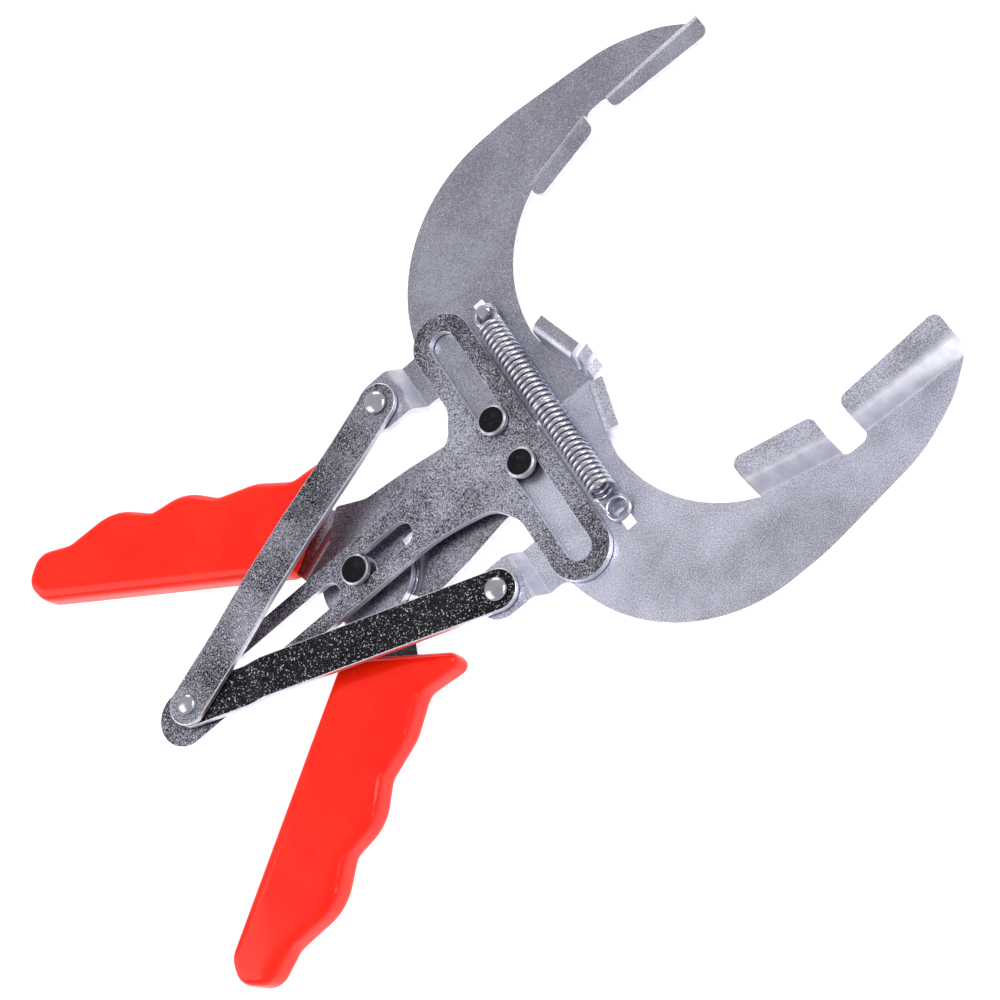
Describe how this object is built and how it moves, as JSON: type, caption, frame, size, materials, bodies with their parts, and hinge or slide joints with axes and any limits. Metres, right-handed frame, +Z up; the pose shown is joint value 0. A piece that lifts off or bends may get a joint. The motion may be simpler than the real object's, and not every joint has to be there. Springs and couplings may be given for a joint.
{
  "type": "piston ring expander pliers",
  "caption": "Hand tool whose two hooked jaws slide apart on a T-shaped plate when its grips are squeezed, opening a piston ring held on stepped ledges.",
  "frame": {"origin": "middle of the bounding box's underside, at the level of the pivot rivet's tail, its lowest point", "axes": "+X from the grips towards the open jaws, +Y to the left jaw, +Z up through the rivet heads"},
  "size_m": [0.2464, 0.162, 0.0181],
  "materials": {
    "frame_steel": "coarse grained zinc plated pressed sheet",
    "jaw_steel": "fine grained satin zinc plated pressed sheet",
    "lever_steel": "smooth plated pressed sheet",
    "link_steel": "dark speckled plated strip",
    "rivet_steel": "bright formed head",
    "pin_steel": "blackened flat head with a worn bright rim",
    "spring_steel": "bright drawn wire",
    "grip_red": "glossy dipped vinyl"
  },
  "bodies": {
    "frame": {"centre_plate": "frame_steel", "return_spring": "spring_steel"},
    "left_jaw": {"left_jaw": "jaw_steel", "left_head_pin": "pin_steel", "left_pin_washer": "lever_steel", "left_tab_rivet": "rivet_steel"},
    "right_jaw": {"right_jaw": "jaw_steel", "right_head_pin": "pin_steel", "right_pin_washer": "lever_steel", "right_tab_rivet": "rivet_steel"},
    "left_handle": {"left_lever": "lever_steel", "left_grip": "grip_red", "pivot_rivet": "pin_steel", "pivot_washer": "lever_steel", "pivot_spacer": "lever_steel"},
    "left_link": {"left_link": "link_steel", "apex_rivet": "rivet_steel", "apex_washer": "lever_steel"},
    "right_handle": {"right_lever": "lever_steel", "right_grip": "grip_red"},
    "right_link": {"right_link": "link_steel"}
  },
  "joints": [
    {"name": "left_jaw_slide", "type": "slide", "parent": "frame", "child": "left_jaw", "axis": [0, 1, 0], "range_m": [0, 0.025], "stiffness_N_per_m": 4000, "springref_m": -0.003, "deforming": ["return_spring"]},
    {"name": "right_jaw_slide", "type": "slide", "parent": "frame", "child": "right_jaw", "axis": [0, -1, 0], "range_m": [0, 0.025]},
    {"name": "left_lever_hinge", "type": "hinge", "parent": "left_jaw", "child": "left_handle", "pos_m": [0.01643, 0.0077, 0.00625], "axis": [0, 0, 1], "range_deg": [0, 28.8]},
    {"name": "left_link_hinge", "type": "hinge", "parent": "left_jaw", "child": "left_link", "pos_m": [-0.00657, 0.03375, 0.0155], "axis": [0, 0, 1], "range_deg": [0, 17.3]},
    {"name": "right_lever_hinge", "type": "hinge", "parent": "right_jaw", "child": "right_handle", "pos_m": [0.01643, -0.0077, 0.00625], "axis": [0, 0, -1], "range_deg": [0, 28.8]},
    {"name": "right_link_hinge", "type": "hinge", "parent": "right_jaw", "child": "right_link", "pos_m": [-0.00657, -0.03375, 0.0155], "axis": [0, 0, -1], "range_deg": [0, 17.3]}
  ],
  "couplings": [
    {"joint": "right_jaw_slide", "follows": "left_jaw_slide", "ratio": 1},
    {"joint": "left_lever_hinge", "follows": "left_jaw_slide", "rad_per_m": 20.007},
    {"joint": "left_link_hinge", "follows": "left_jaw_slide", "rad_per_m": 11.954},
    {"joint": "right_lever_hinge", "follows": "left_jaw_slide", "rad_per_m": 20.007},
    {"joint": "right_link_hinge", "follows": "left_jaw_slide", "rad_per_m": 11.954}
  ]
}
